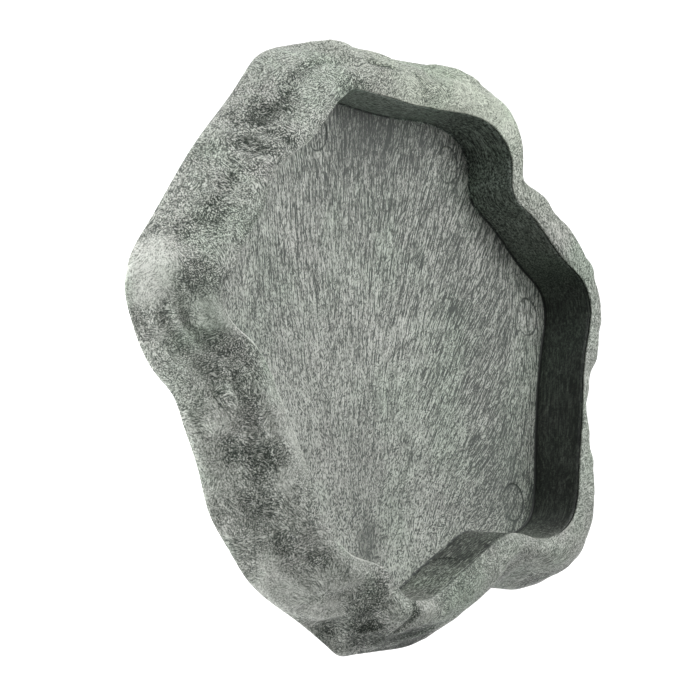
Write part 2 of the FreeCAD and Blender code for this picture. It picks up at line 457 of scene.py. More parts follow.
def grid_normals(points):
    """Unit normals of a grid of points (row, bearing, xyz), pointing away from the inside of the rock."""
    along = np.roll(points, -1, 1) - np.roll(points, 1, 1)
    down = np.gradient(points, axis=0)
    normals = np.cross(along, down)
    normals /= np.linalg.norm(normals, axis=2, keepdims=True)
    return -normals


def grid_faces(rows, closed=False):
    """Quads between neighbouring rows, which run right round."""
    faces = []
    for row in range(rows if closed else rows - 1):
        this, following = row * BEARINGS, (row + 1) % rows * BEARINGS
        for i in range(BEARINGS):
            j = (i + 1) % BEARINGS
            faces.append((this + i, following + i, following + j, this + j))
    return faces


def make_object(name, points, faces, materials, indices):
    """A mesh object from points in millimetres, smooth shaded, with a material index per face."""
    mesh = bpy.data.meshes.new(name)
    mesh.from_pydata([tuple(p) for p in np.asarray(points) * MM], [], faces)
    for material in materials:
        mesh.materials.append(material)
    mesh.polygons.foreach_set("material_index", indices)
    mesh.shade_smooth()
    mesh.update()
    made = bpy.data.objects.new(name, mesh)
    bpy.context.collection.objects.link(made)
    return made


def give_tone(made, tone):
    """Stores the tone of each point, paler above zero and darker below: painted light and painted shade
    together with the plastic's own paler and darker patches.
    """
    layer = made.data.attributes.new("tone", "FLOAT", "POINT")
    layer.data.foreach_set("value", np.asarray(tone, dtype=np.float32).ravel())


# Rock skin

def field(points, layer):
    """One layer of fractal noise at each point, about minus its height to its height."""
    height, size, octaves, seed = layer
    shift = Vector([seed * step for step in SEED_SHIFT])
    places = points.reshape(-1, 3) / size
    values = [noise.fractal(Vector(place) + shift, OCTAVE_FADE, OCTAVE_STEP, octaves) for place in places]
    return height * np.array(values).reshape(points.shape[:-1])


def wrapped_degrees(difference):
    """A difference of bearings brought into -180 to 180 degrees."""
    return (difference + 180) % 360 - 180


def swells(stretches, radius):
    """The sum of soft swells, each (bearing, half length, amount), per bearing of the grid."""
    total = np.zeros(BEARINGS)
    for bearing, half_length, amount in stretches:
        away = np.radians(wrapped_degrees(np.degrees(ANGLES) - bearing)) * radius / half_length
        total += amount * np.exp(-away ** 2)
    return total


def flat_ring(radius):
    """One row of points at height 0, with this radius per bearing."""
    return polar_points(radius * np.ones((1, BEARINGS)), np.zeros((1, BEARINGS)))


def rim_dip():
    """How far the rim's inner edge lies below the top, per bearing."""
    drop = RIM_EDGE_DROP + field(flat_ring(NOISE_RING_RADIUS), RIM_DROP_NOISE)[0]
    return np.clip(drop + swells(RIM_DIPS, RIM_RADIUS), *RIM_EDGE_DROP_LIMITS)


def rim_wander():
    """Small sideways wander of the rim's inner edge, per bearing."""
    return field(flat_ring(RIM_RADIUS), RIM_WANDER_NOISE)[0] + swells(RIM_SHIFTS, RIM_RADIUS)


def eased_max(first, second, easing):
    """The larger of two grids, with the crease between them rounded."""
    share = np.clip(0.5 + 0.5 * (first - second) / easing, 0, 1)
    return second + (first - second) * share + easing * share * (1 - share)


def flank_forms(points, radii, shares):
    """The flank's relief and tone: domes and scoops that meet the broad swells around them at creases, with
    painted light on most domes and painted shade in the scoops.
    """
    degrees = np.degrees(ANGLES)
    stray_along = field(points, STRAY_ALONG_NOISE)
    stray_down = field(points, STRAY_DOWN_NOISE)
    relief = field(points, BROAD_NOISE)
    tone = np.zeros(radii.shape)
    for bearing, share, half_length, half_height, height, paleness in FLANK_FORMS:
        along = np.radians(wrapped_degrees(degrees - bearing)) * radii / half_length + stray_along
        down = (shares - share) * FLANK_SLOPE_LENGTH / half_height + stray_down
        square = along ** 2 + down ** 2
        form = abs(height) * (FORM_TOP - np.minimum(square, FORM_CUT))
        if height > 0:
            relief = eased_max(relief, form, CREASE_ROUNDING)
        else:
            relief = -eased_max(-relief, form, CREASE_ROUNDING)
        tone += paleness * np.clip((TONE_REACH - np.sqrt(square)) / TONE_FADE, 0, 1)
    return relief, tone


def facets(points):
    """Height of the broad chipped facets: the rock falls away from ridges that run between cells."""
    distances = []
    for point in points.reshape(-1, 3) / FACET_SIZE:
        place = Vector(point)
        place += noise.noise_vector(place * FACET_STRAY_RATE) * FACET_STRAY
        near, second = noise.voronoi(place)[0][:2]
        distances.append(min(second - near, FACET_REACH))
    return FACET_HEIGHT * (FACET_LEVEL - np.array(distances).reshape(points.shape[:-1]))


def skin_relief(points, radii, shares, crest):
    """Displacement of the rock's surface along its normal, and its tone.

    crest is 1 at the rim and 0 on the flank.
    """
    broad, tone = flank_forms(points, radii, shares)
    broad += facets(points)
    rough = field(points, ROUGH_NOISE)
    base = np.clip(shares / BASE_FADE, 0, 1)
    relief = base * ((1 - CREST_CALM * crest) * broad + rough)
    relief = smoothed(relief, RELIEF_ROUNDING, 1, True)
    relief = smoothed(relief, RELIEF_ROUNDING, 0, False)
    relief += (BASE_PITS + (1 - BASE_PITS) * base) * field(points, PIT_NOISE)
    # The rough relief adds painted light on its bumps and painted shade in its dips.
    return relief, np.clip(tone + ROUGH_PAINTED_SHADING * rough, *ROCK_TONE_LIMITS)


def skin_profile():
    """Radii and heights of the rock's outside, from the seam up over the crest and down the flank."""
    radii = [RIM_EDGE, RIM_EDGE]
    drop = rim_dip()
    heights = [np.full(BEARINGS, SEAM_Z), RIM_Z - drop - RIM_CHAMFER_HEIGHT]
    crest_end = radius_from_outside(SHELL, RIM_Z - TOP_MARGIN)
    crest_start = RIM_EDGE + RIM_CHAMFER_WIDTH
    for step in range(CREST_ROWS):
        share = (step / (CREST_ROWS - 1)) ** CREST_CROWDING
        radii.append(crest_start + share * (crest_end - crest_start))
        heights.append(RIM_Z - drop * (1 - share) ** 3)
    for step in range(1, FLANK_ROWS + 1):
        share = step / FLANK_ROWS
        level = RIM_Z - (RIM_Z - BASE_Z - SKIN_BASE_LIFT) * share ** FLANK_CROWDING
        reach = radius_from_outside(SHELL, level)
        radii.append(reach + swells(FOOT_SWELLS, reach) * share ** 3)
        heights.append(np.full(BEARINGS, level))
    return np.array(radii), np.array(heights)


def shell_inside():
    """Points of the shell's inside: up from the base to the ceiling, in to the tray, up to the seam."""
    levels = np.linspace(BASE_Z + FLAT_MARGIN, CEILING_Z - CEILING_MARGIN, INSIDE_ROWS)
    radii = [radius_from_axis(SHELL, level) for level in levels]
    rebate = radius_from_axis(SHELL, (SEAM_Z + CEILING_Z + CEILING_MARGIN) / 2)
    radii += [rebate, rebate]
    heights = [np.full(BEARINGS, level) for level in (BASE_Z, *levels[1:], CEILING_Z, SEAM_Z)]
    return polar_points(np.array(radii), np.array(heights))


def rock_skin(materials):
    """The rock's outside, sculpted, with the hollow underside closed behind it."""
    radii, heights = skin_profile()
    radii[EDGE_ROWS:] = smoothed(radii[EDGE_ROWS:], PROFILE_ROUNDING, 0, False)
    heights[EDGE_ROWS:] = smoothed(heights[EDGE_ROWS:], PROFILE_ROUNDING, 0, False)
    radii[EDGE_ROWS:] = smoothed(radii[EDGE_ROWS:], BEARING_ROUNDING, 1, True)
    points = polar_points(radii, heights)
    shares = (heights - BASE_Z) / (RIM_Z - BASE_Z)
    past_edge = np.arange(len(radii))[:, None] - (EDGE_ROWS - 1) * np.ones(BEARINGS)
    shares += CREST_SHARE * np.clip(1 - past_edge / (CREST_ROWS - 1), 0, 1) ** CREST_SHARE_RISE
    crest = np.clip((CREST_ROWS + CREST_HOLD - past_edge) / CREST_ROWS, 0, 1)
    relief, tone = skin_relief(points, radii, shares, crest)
    relief *= np.clip(past_edge / RELIEF_ROWS, 0, 1)
    points += grid_normals(points) * relief[:, :, None]
    points[:, :, 2] = np.clip(points[:, :, 2], BASE_Z, RIM_Z)

    inside = shell_inside()
    grid = np.concatenate([points, inside])
    faces = grid_faces(len(grid), closed=True)
    indices = np.zeros(len(faces), dtype=np.int32)
    indices[:BEARINGS] = 1
    indices[(len(points) - 1) * BEARINGS:] = 2
    skin = make_object("rock_skin", grid.reshape(-1, 3), faces, materials, indices)
    # The rim's inner edge gets a painted highlight in its tone.
    tone[1:EDGE_ROWS + 1] += painted_edge_highlight()
    give_tone(skin, np.concatenate([tone, np.zeros(inside.shape[:2])]))
    return skin


def painted_edge_highlight():
    """How much paler the rim's inner edge is painted, per bearing, as a painted highlight along it."""
    highlight = np.clip(RIM_HIGHLIGHT_LEVEL + field(flat_ring(RIM_RADIUS), RIM_HIGHLIGHT_NOISE), 0, 1)
    return highlight + swells(RIM_HIGHLIGHT_STRETCHES, RIM_RADIUS)


# Basin tray

def dent(distance, radius):
    """Depth of a round mark at a distance from its middle, with a soft edge."""
    inside = np.clip((radius - distance) / MARK_EDGE + 0.5, 0, 1)
    return MARK_DEPTH * inside * inside * (3 - 2 * inside)


def floor_dents(x, y):
    """Depth of the round marks over the foot pads, at points of the floor."""
    depth = np.zeros(x.shape)
    for name in PADS:
        centre_x, centre_y = pad_middle(name)
        depth = np.maximum(depth, dent(np.hypot(x - centre_x, y - centre_y), MARK_RADIUS))
    return depth


def wall_mark_middle():
    """Middle of the round mark in the front wall."""
    turn = math.radians(WALL_MARK_BEARING)
    reach = RIM_RADIUS[round(WALL_MARK_BEARING % 360 / 360 * BEARINGS)]
    return reach * math.cos(turn), reach * math.sin(turn), WALL_MARK_Z


def wall_dent(points):
    """Depth of the round mark in the front wall."""
    distance = np.linalg.norm(points - np.array(wall_mark_middle()), axis=2)
    return dent(distance, WALL_MARK_RADIUS)


def tray_inside():
    """Rows of the basin's inside from the seam down the wall, round the cove and over the floor."""
    cove_top = FLOOR_Z + COVE_RADIUS
    foot_z = FLOOR_Z + WALL_FOOT_LIFT
    foot = radius_from_axis(TRAY, foot_z)
    radii, heights = [], []
    for step in range(WALL_ROWS):
        level = SEAM_Z + (cove_top - SEAM_Z) * step / WALL_ROWS
        share = (SEAM_Z - level) / (SEAM_Z - foot_z)
        radii.append(RIM_EDGE + (foot - RIM_EDGE) * share)
        heights.append(level)
    for step in range(COVE_ROWS + 1):
        turn = math.pi / 2 * step / COVE_ROWS
        radii.append(foot - COVE_RADIUS * (1 - math.cos(turn)))
        heights.append(FLOOR_Z + COVE_RADIUS * (1 - math.sin(turn)))
    edge = foot - COVE_RADIUS
    for inset in floor_insets():
        radii.append(edge * (1 - inset))
        heights.append(FLOOR_Z)
    return np.array(radii), np.array(heights)[:, None] * np.ones(BEARINGS)


def floor_insets():
    """How far in from the floor's edge each row lies, as a share of the radius."""
    fine = np.linspace(0, MARK_BAND, MARK_BAND_ROWS)[1:]
    coarse = np.linspace(MARK_BAND, FLOOR_MIDDLE, FLOOR_MIDDLE_ROWS)[1:]
    return np.concatenate([fine, coarse])


def tray_outside():
    """Rows of the tray's outside from the seam down the wall and across the underside."""
    levels = np.linspace(SEAM_Z - TOP_MARGIN, UNDERSIDE_Z + FLAT_MARGIN, OUTSIDE_ROWS)
    radii = [radius_from_outside(TRAY, level) for level in levels]
    heights = [SEAM_Z, *levels[1:-1], UNDERSIDE_Z]
    for share in np.linspace(*UNDERSIDE_SHARES, UNDERSIDE_ROWS):
        radii.append(radii[OUTSIDE_ROWS - 1] * share)
        heights.append(UNDERSIDE_Z)
    return np.array(radii), np.array(heights)[:, None] * np.ones(BEARINGS)


def post_rings():
    """Radius and height of each ring of one post, from inside the tray to the roof of the pad's recess."""
    pad_radius = (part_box(PADS[0])[1].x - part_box(PADS[0])[0].x) / 2 / MM
    recess = pad_radius + RECESS_CLEARANCE
    rings = [(POST_MIDDLE, UNDERSIDE_Z + ROOT_PROFILE[0][1])]
    rings += [(POST_RADIUS + outset, UNDERSIDE_Z + height) for outset, height in ROOT_PROFILE]
    rings += [(POST_RADIUS - inset, POST_Z + height) for inset, height in FOOT_PROFILE]
    rings += [(recess + outset, POST_Z + height) for outset, height in MOUTH_PROFILE]
    rings += [(recess, POST_Z + RECESS_DEPTH), (POST_MIDDLE, POST_Z + RECESS_DEPTH)]
    return rings


def posts(first):
    """Points and faces of the posts under the tray, numbered from first."""
    rings = post_rings()
    points, faces = [], []
    for name in PADS:
        centre_x, centre_y = pad_middle(name)
        for radius, height in rings:
            for i in range(POST_TURNS):
                angle = 2 * math.pi * i / POST_TURNS
                x = centre_x + radius * math.cos(angle)
                y = centre_y + radius * math.sin(angle)
                points.append((x, y, height))
        for ring in range(len(rings) - 1):
            this = first + ring * POST_TURNS
            following = this + POST_TURNS
            for i in range(POST_TURNS):
                j = (i + 1) % POST_TURNS
                faces.append((this + i, following + i, following + j, this + j))
        faces.append(tuple(range(first, first + POST_TURNS)))
        first += len(rings) * POST_TURNS
        faces.append(tuple(reversed(range(first - POST_TURNS, first))))
    return points, faces


def tray_tone(points):
    """How pale or dark the tray is at each point, from soft patches of painted light and painted shade."""
    on_floor = np.abs(points[:, 2] - FLOOR_Z) < COVE_RADIUS
    tone = np.zeros(len(points))
    for clouds, here in ((FLOOR_SHADE_PATCHES, on_floor), (WALL_LIGHT_AND_SHADE_PATCHES, ~on_floor)):
        for x, y, radius, amount in clouds:
            distance = np.hypot(points[:, 0] - x, points[:, 1] - y) / radius
            tone += here * amount * np.exp(-distance ** 2)
    return np.clip(tone, *TRAY_TONE_LIMITS)


def basin_tray(materials):
    """The basin's tray with its marked floor, its outside and the posts that carry the pads."""
    radii, heights = tray_inside()
    inside = polar_points(radii, heights)
    floor_row = WALL_ROWS + COVE_ROWS
    floor = inside[floor_row:]
    wave = field(floor, FLOOR_WAVE)
    wave *= np.clip(np.arange(len(floor)) / FLOOR_WAVE_ROWS, 0, 1)[:, None]
    floor[:, :, 2] += wave - floor_dents(floor[:, :, 0], floor[:, :, 1])
    wall_wave = field(inside[:floor_row], WALL_WAVE)
    wall_wave *= np.clip(np.arange(floor_row) / WALL_WAVE_ROWS, 0, 1)[:, None]
    wall_wave += wall_dent(inside[:floor_row])
    inside[:floor_row, :, :2] += wall_wave[:, :, None] * DIRECTIONS

    outside = polar_points(*tray_outside())
    grid = np.concatenate([inside[::-1], outside])
    points = grid.reshape(-1, 3)
    faces = grid_faces(len(grid))
    indices = np.zeros(len(faces), dtype=np.int32)
    floor_faces = (len(inside) - 1 - floor_row) * BEARINGS
    indices[floor_faces:] = 1
    indices[len(inside) * BEARINGS:] = 2
    last = len(points)
    faces.append(tuple(range(BEARINGS)))
    faces.append(tuple(reversed(range(last - BEARINGS, last))))
    more_points, more_faces = posts(last)
    indices = np.concatenate([indices, [0, 2], np.full(len(more_faces), 2)]).astype(np.int32)
    points = np.concatenate([points, np.array(more_points)])
    tray = make_object("basin_tray_shell", points, faces + more_faces, materials, indices)
    give_tone(tray, tray_tone(points))
    return tray


# Materials

class Nodes:
    """Short calls for one material's nodes. A value may be a number, a tuple or another node's output."""

    def __init__(self, name):
        self.material = bpy.data.materials.new(name)
        self.material.use_nodes = True
        self.tree = self.material.node_tree
        self.shader = self.tree.nodes["Principled BSDF"]

    def put(self, socket, value):
        if isinstance(value, bpy.types.NodeSocket):
            self.tree.links.new(value, socket)
        else:
            socket.default_value = value

    def add(self, kind, inputs=(), **settings):
        node = self.tree.nodes.new(kind)
        for key, value in settings.items():
            setattr(node, key, value)
        for key, value in dict(inputs).items():
            self.put(node.inputs[key], value)
        return node

    def math(self, operation, *values):
        return self.add("ShaderNodeMath", dict(enumerate(values)), operation=operation).outputs[0]

    def millimetres(self):
        return self.scaled(self.add("ShaderNodeTexCoord").outputs["Object"], 1 / MM)

    def vector(self, operation, *values):
        inputs = dict(enumerate(values))
        return self.add("ShaderNodeVectorMath", inputs, operation=operation).outputs[0]

    def scaled(self, vector, factor):
        inputs = {0: vector, "Scale": factor}
        return self.add("ShaderNodeVectorMath", inputs, operation="SCALE").outputs[0]

    def measure(self, operation, *values):
        """A vector operation that gives a number, such as DISTANCE or DOT_PRODUCT."""
        inputs = dict(enumerate(values))
        return self.add("ShaderNodeVectorMath", inputs, operation=operation).outputs["Value"]

    def product(self, first, *others):
        for other in others:
            first = self.math("MULTIPLY", first, other)
        return first

    def tone(self):
        """How much paler or darker the plastic is here, as give_tone stored it."""
        return self.add("ShaderNodeAttribute", attribute_name="tone").outputs["Fac"]

    def parts(self, vector):
        node = self.add("ShaderNodeSeparateXYZ", {"Vector": vector})
        return tuple(node.outputs)

    def join(self, x, y, z=0.0):
        return self.add("ShaderNodeCombineXYZ", {"X": x, "Y": y, "Z": z}).outputs[0]

    def noise(self, vector, size, detail=2.0, roughness=0.5, distortion=0.0):
        """Noise about 0 to 1 with features about as wide as size, in the vector's own unit."""
        inputs = {
            "Vector": vector,
            "Scale": 1 / size,
            "Detail": detail,
            "Roughness": roughness,
            "Distortion": distortion,
        }
        return self.add("ShaderNodeTexNoise", inputs).outputs[0]

    def spread(self, value, low, high, to_low=0.0, to_high=1.0):
        inputs = {0: value, 1: low, 2: high, 3: to_low, 4: to_high}
        return self.add("ShaderNodeMapRange", inputs).outputs[0]

    def ramp(self, value, stops):
        """A colour ramp through (position, colour) stops."""
        node = self.add("ShaderNodeValToRGB", {"Fac": value})
        elements = node.color_ramp.elements
        while len(elements) < len(stops):
            elements.new(0.5)
        for element, (position, colour) in zip(elements, stops):
            element.position = position
            element.color = (*colour, 1)
        return node.outputs[0]

    def mix(self, factor, first, second, blend="MIX"):
        node = self.add("ShaderNodeMix", data_type="RGBA", blend_type=blend)
        self.put(node.inputs[0], factor)
        for socket, value in ((node.inputs[6], first), (node.inputs[7], second)):
            self.put(socket, value if isinstance(value, bpy.types.NodeSocket) else (*value, 1))
        return node.outputs[2]

    def bump(self, height, distance, strength=1.0, after=None):
        """A bump whose height of one stands for distance, in millimetres."""
        inputs = {"Height": height, "Distance": distance * MM, "Strength": strength}
        if after is not None:
            inputs["Normal"] = after
        return self.add("ShaderNodeBump", inputs).outputs[0]

    def roughness(self, layer, dull, shiny):
        """Roughness from dull, where a layer of noise is dark, to shiny, where it is pale."""
        return self.spread(layer, 0.3, 0.7, dull, shiny)

    def finish(self, colour, roughness, normal, specular=0.5):
        self.put(self.shader.inputs["Base Color"], colour)
        self.put(self.shader.inputs["Roughness"], roughness)
        self.put(self.shader.inputs["Normal"], normal)
        self.put(self.shader.inputs["Specular IOR Level"], specular)
        return self.material


# Colours of the marbled plastic, from its darkest green-grey to its palest fibres.
INK = (0.034, 0.038, 0.035)
DEEP = (0.046, 0.055, 0.048)
DARK = (0.108, 0.120, 0.105)
MIDDLE = (0.235, 0.252, 0.222)
LIGHT = (0.42, 0.44, 0.40)
PALE = (0.66, 0.68, 0.63)

# How each surface's pattern becomes colour: (place on the pattern, colour).
ROCK_RAMP = [(0.10, DEEP), (0.34, DARK), (0.52, MIDDLE), (0.72, LIGHT), (0.95, PALE)]
FLOOR_RAMP = [(0.14, DEEP), (0.36, DARK), (0.52, MIDDLE), (0.75, LIGHT), (1.0, PALE)]
WALL_RAMP = [(0.12, INK), (0.35, DARK), (0.56, MIDDLE), (0.78, LIGHT), (1.0, PALE)]
UNDERSIDE_RAMP = [(0.15, DEEP), (0.45, DARK), (0.68, MIDDLE), (0.95, LIGHT)]
RUBBER_RAMP = [(0.3, (0.018, 0.018, 0.020)), (0.55, (0.030, 0.030, 0.032)), (0.8, (0.06, 0.06, 0.06))]
STUDIO_RAMP = [(0.3, (0.20, 0.20, 0.20)), (0.7, (0.21, 0.21, 0.21))]

# Clouds of tint in the plastic: (size, shift of the noise, where a cloud starts, where it is full, tint).
TINT_CLOUDS = [
    (26, (0, 0, 0), 0.48, 0.68, (0.80, 1.0, 0.84)),
    (19, (90, 40, 15), 0.50, 0.70, (1.0, 0.93, 0.98)),
]
BACK_TINT = (0.99, 1.03, 0.95)
WALL_TINT = (0.90, 1.0, 0.97)
# Painted shadow colour that the darkest hollows are multiplied by.
SHADOW_TINT = (0.35, 0.37, 0.35)

# Layers of hairs: (size of a cell, width of a hair, its length). HAIR_SCATTER sets the cells' noise apart.
ROCK_HAIRS = (3.4, 0.36, 2.8)
ROCK_STUBBLE = (2.0, 0.32, 1.4)
WALL_DRAG = (6.0, 0.42, 5.0)
WALL_SPECKS = (2.2, 0.36, 0.9)
HAIR_SCATTER = 60.0

# Fibres on the floor: (layer of hairs, shift of the noise, stray in radians, weight, strength on speckled
# ground, strength on streaked ground). Noise over FIBRE_TOP is equally pale.
FLOOR_FIBRES = [
    ((10.0, 0.45, 8.0), (0, 0, 0), 0.10, 3.7, 0.1, 1.0),
    ((5.0, 0.44, 2.8), (3, 5, 0), 0.38, 2.7, 0.5, 1.0),
    ((2.5, 0.42, 1.0), (9, 2, 0), 0.80, 2.9, 1.5, 0.8),
]
FIBRE_TOP = 0.53

# Each pattern's middle, and how far the tone moves it. On the rock, the darkest tones move it no further.
ROCK_LEVEL = 0.54
ROCK_TONE_GAIN = 0.25
ROCK_LEAST_TONE = -1.1
FLOOR_LEVEL = 0.67
WALL_LEVEL = 0.62
TRAY_TONE_GAIN = 0.20

# How much darker the pattern is round the floor's marks and round the wall's mark, as painted shade on their
# edges, and along the wall's foot, and on the wall's shaded side as painted shade, and the factor that the
# wall's pattern ends with.
FLOOR_LINE_DEPTH = 0.45
WALL_LINE_DEPTH = 0.35
WALL_SHADE_DEPTH = 0.36
WALL_CONTRAST = 0.8

# A distance past every mark, in millimetres.
FAR_OFF = 300

# Bands on the wall are drawn out along the rim: their noise runs this much slower there.
BAND_PACE = 0.4

# The worn hollow at the left corner: its middle, the distances at which its smoothness starts to fade and
# ends, and the strength of the hairs in it.
SMOOTH_MIDDLE = (-99, 12, 16)
SMOOTH_REACH = (7, 15)
SMOOTH_STRENGTH = 0.6

# Flow over the floor: the turn towards +X on the axis, in radians, and its change for each millimetre of Y.
FLOW_TURN = 0.785
FLOW_BEND = -0.0042


def tinted(nodes, place, colour, strength):
    """The colour with the faint green and violet clouds that run through the plastic."""
    for size, shift, start, full, tint in TINT_CLOUDS:
        cloud = nodes.noise(nodes.vector("ADD", place, shift), size, 3, 0.55)
        cloud = nodes.product(nodes.spread(cloud, start, full), strength)
        colour = nodes.mix(cloud, colour, tint, "MULTIPLY")
    return colour


def hairs(nodes, place, layer, directions, shift=(0, 0, 0)):
    """Short fine hairs: each small cell of the plastic has its own direction, given by the cell's middle."""
    cell, width, length = layer
    place = nodes.vector("ADD", place, shift)
    cells = nodes.add("ShaderNodeTexVoronoi", {"Vector": place, "Scale": 1 / cell})
    middle = cells.outputs["Position"]
    direction = nodes.vector("NORMALIZE", directions(middle))
    local = nodes.vector("SUBTRACT", place, middle)
    along = nodes.product(nodes.measure("DOT_PRODUCT", local, direction), width / length - 1)
    squeezed = nodes.vector("ADD", local, nodes.scaled(direction, along))
    scatter = nodes.scaled(cells.outputs["Color"], HAIR_SCATTER)
    return nodes.noise(nodes.vector("ADD", squeezed, scatter), width, 2, 0.6)


def centred(nodes, colour):
    """A noise's colour as a vector about zero."""
    return nodes.vector("SUBTRACT", colour, (0.5, 0.5, 0.5))


def rock_directions(nodes, size, shift, stray=0.0, along=None):
    """A direction that turns slowly over the rock and strays from cell to cell.

    along, where given, is how strongly it is drawn level round the dish.
    """
    def at(place):
        moved = nodes.vector("ADD", place, (shift, 2 * shift, -shift))
        inputs = {"Vector": moved, "Scale": 1 / size, "Detail": 1.0}
        swirl = centred(nodes, nodes.add("ShaderNodeTexNoise", inputs).outputs["Color"])
        chance = centred(nodes, nodes.add("ShaderNodeTexWhiteNoise", {"Vector": place}).outputs["Color"])
        swirl = nodes.vector("ADD", swirl, nodes.scaled(chance, stray))
        if along is None:
            return swirl
        level = nodes.vector("NORMALIZE", along_rim(nodes)(place))
        return nodes.vector("ADD", swirl, nodes.scaled(level, along))
    return at


def layered(nodes, pattern, layers, strength=1.0):
    """The pattern with layers of noise added, each as (noise, weight)."""
    for layer, weight in layers:
        part = nodes.math("MULTIPLY", nodes.math("SUBTRACT", layer, 0.5), strength)
        pattern = nodes.math("MULTIPLY_ADD", part, weight, pattern)
    return pattern


def hair_strength(nodes, place, tone):
    """How strongly the rock's hairs show: most on dark ground, left and back, less in the worn hollow."""
    x, y = nodes.parts(place)[:2]
    from_hollow = nodes.measure("DISTANCE", place, SMOOTH_MIDDLE)
    return nodes.product(
        nodes.spread(y, -20, 50, 0.85, 1.15),
        nodes.spread(x, -20, 20, 1.0, 0.78),
        nodes.spread(tone, -1.0, 0.5, 1.9, 0.85),
        nodes.spread(from_hollow, *SMOOTH_REACH, SMOOTH_STRENGTH, 1.0),
    )


def rock_colour(nodes, place, tone, pattern):
    """The pattern's colour, faintly yellow-green at the back right, with painted shade that makes the darkest
    hollows far darker.
    """
    colour = tinted(nodes, place, nodes.ramp(pattern, ROCK_RAMP), 0.4)
    x, y = nodes.parts(place)[:2]
    back_right = nodes.product(nodes.spread(y, 20, 60), nodes.spread(x, -25, 15))
    colour = nodes.mix(back_right, colour, BACK_TINT, "MULTIPLY")
    return nodes.mix(nodes.spread(tone, -1.7, -0.8, 1.0, 0.0), colour, SHADOW_TINT, "MULTIPLY")


def rock_plastic():
    """The rock's outside: short pale hairs over dark green-grey, with the tone's painted light on lobes and
    painted shade in hollows.
    """
    nodes = Nodes("rock plastic")
    place = nodes.millimetres()
    tone = nodes.tone()
    along = nodes.spread(tone, -0.5, 0.1, 0.0, 0.2)
    long = hairs(nodes, place, ROCK_HAIRS, rock_directions(nodes, 14, 0, 0.22, along))
    short = hairs(nodes, place, ROCK_STUBBLE, rock_directions(nodes, 12, 70, 0.5), (7, 3, 5))
    crumbs = nodes.noise(place, 1.7, 3, 0.65, 0.4)
    clouds = nodes.noise(place, 14, 3, 0.55)
    held_tone = nodes.math("MAXIMUM", tone, ROCK_LEAST_TONE)
    pattern = nodes.math("MULTIPLY_ADD", held_tone, ROCK_TONE_GAIN, ROCK_LEVEL)
    pattern = layered(nodes, pattern, [(long, 1.9), (short, 1.5)], hair_strength(nodes, place, tone))
    pattern = layered(nodes, pattern, [(crumbs, 0.50)], nodes.spread(tone, -1.0, 0.3, 2.2, 0.3))
    pattern = layered(nodes, pattern, [(clouds, 0.25)])
    colour = rock_colour(nodes, place, tone, pattern)
    grain = nodes.bump(nodes.math("ADD", long, short), 0.12, 0.6)
    grain = nodes.bump(crumbs, 0.3, 0.5, grain)
    specular = nodes.spread(tone, -1.0, 0.3, 0.10, 0.45)
    return nodes.finish(colour, nodes.roughness(long, 0.66, 0.46), grain, specular)


def flow_directions(nodes, stray):
    """The plastic's flow over the floor, turned by up to stray radians from cell to cell.

    It runs towards +Y on the left, fans out towards +X across the middle, and turns along the right wall.
    """
    def at(place):
        x, y = nodes.parts(place)[:2]
        turn = nodes.product(
            nodes.spread(x, -28, 46),
            nodes.spread(x, 62, 80, 1.0, 0.25),
            nodes.math("MULTIPLY_ADD", y, FLOW_BEND, FLOW_TURN),
        )
        chance = nodes.add("ShaderNodeTexWhiteNoise", {"Vector": place}).outputs["Value"]
        turn = nodes.math("ADD", turn, nodes.spread(chance, 0, 1, -stray, stray))
        return nodes.join(nodes.math("SINE", turn), nodes.math("COSINE", turn))
    return at


def floor_plastic():
    """The basin's floor: fine pale fibres that follow the flow of the plastic, over dark gaps."""
    nodes = Nodes("basin floor plastic")
    place = nodes.millimetres()
    x, y = nodes.parts(place)[:2]
    streaky = nodes.spread(nodes.math("MULTIPLY_ADD", x, 0.6, y), -60, 30)
    # The tone darkens the floor with painted shade.
    pattern = nodes.math("MULTIPLY_ADD", nodes.tone(), TRAY_TONE_GAIN, FLOOR_LEVEL)
    fibres = []
    for layer, shift, stray, weight, speckled, streaked in FLOOR_FIBRES:
        fibres.append(hairs(nodes, place, layer, flow_directions(nodes, stray), shift))
        strength = nodes.spread(streaky, 0, 1, speckled, streaked)
        held = nodes.math("MINIMUM", fibres[-1], FIBRE_TOP)
        pattern = layered(nodes, pattern, [(held, weight)], strength)
    clouds = nodes.noise(place, 9, 4, 0.6)
    pattern = layered(nodes, pattern, [(clouds, 0.35)])
    rings = ring_line(nodes, place, [(*pad_middle(name), FLOOR_Z) for name in PADS], MARK_RADIUS)
    # A line of painted shade round the edge of each floor mark.
    pattern = nodes.math("MULTIPLY_ADD", rings, -FLOOR_LINE_DEPTH, pattern)
    colour = tinted(nodes, place, nodes.ramp(pattern, FLOOR_RAMP), 0.3)
    long, middling, short = fibres
    grain = nodes.bump(nodes.math("ADD", middling, short), 0.08, 0.5)
    grain = nodes.bump(rings, -MARK_DEPTH, 0.6, grain)
    return nodes.finish(colour, nodes.roughness(long, 0.62, 0.46), grain)


def ring_line(nodes, place, middles, radius):
    """1 on circles of this radius about the given middles, and 0 a little way off them."""
    nearest = FAR_OFF
    for middle in middles:
        reach = nodes.measure("DISTANCE", place, middle)
        off = nodes.math("ABSOLUTE", nodes.math("SUBTRACT", reach, radius))
        nearest = nodes.math("MINIMUM", nearest, off)
    return nodes.spread(nearest, 0.0, MARK_LINE_WIDTH, 1.0, 0.0)


def along_rim(nodes):
    """The direction that runs level round the dish."""
    def at(place):
        x, y = nodes.parts(place)[:2]
        return nodes.join(nodes.product(y, -1.0), x)
    return at


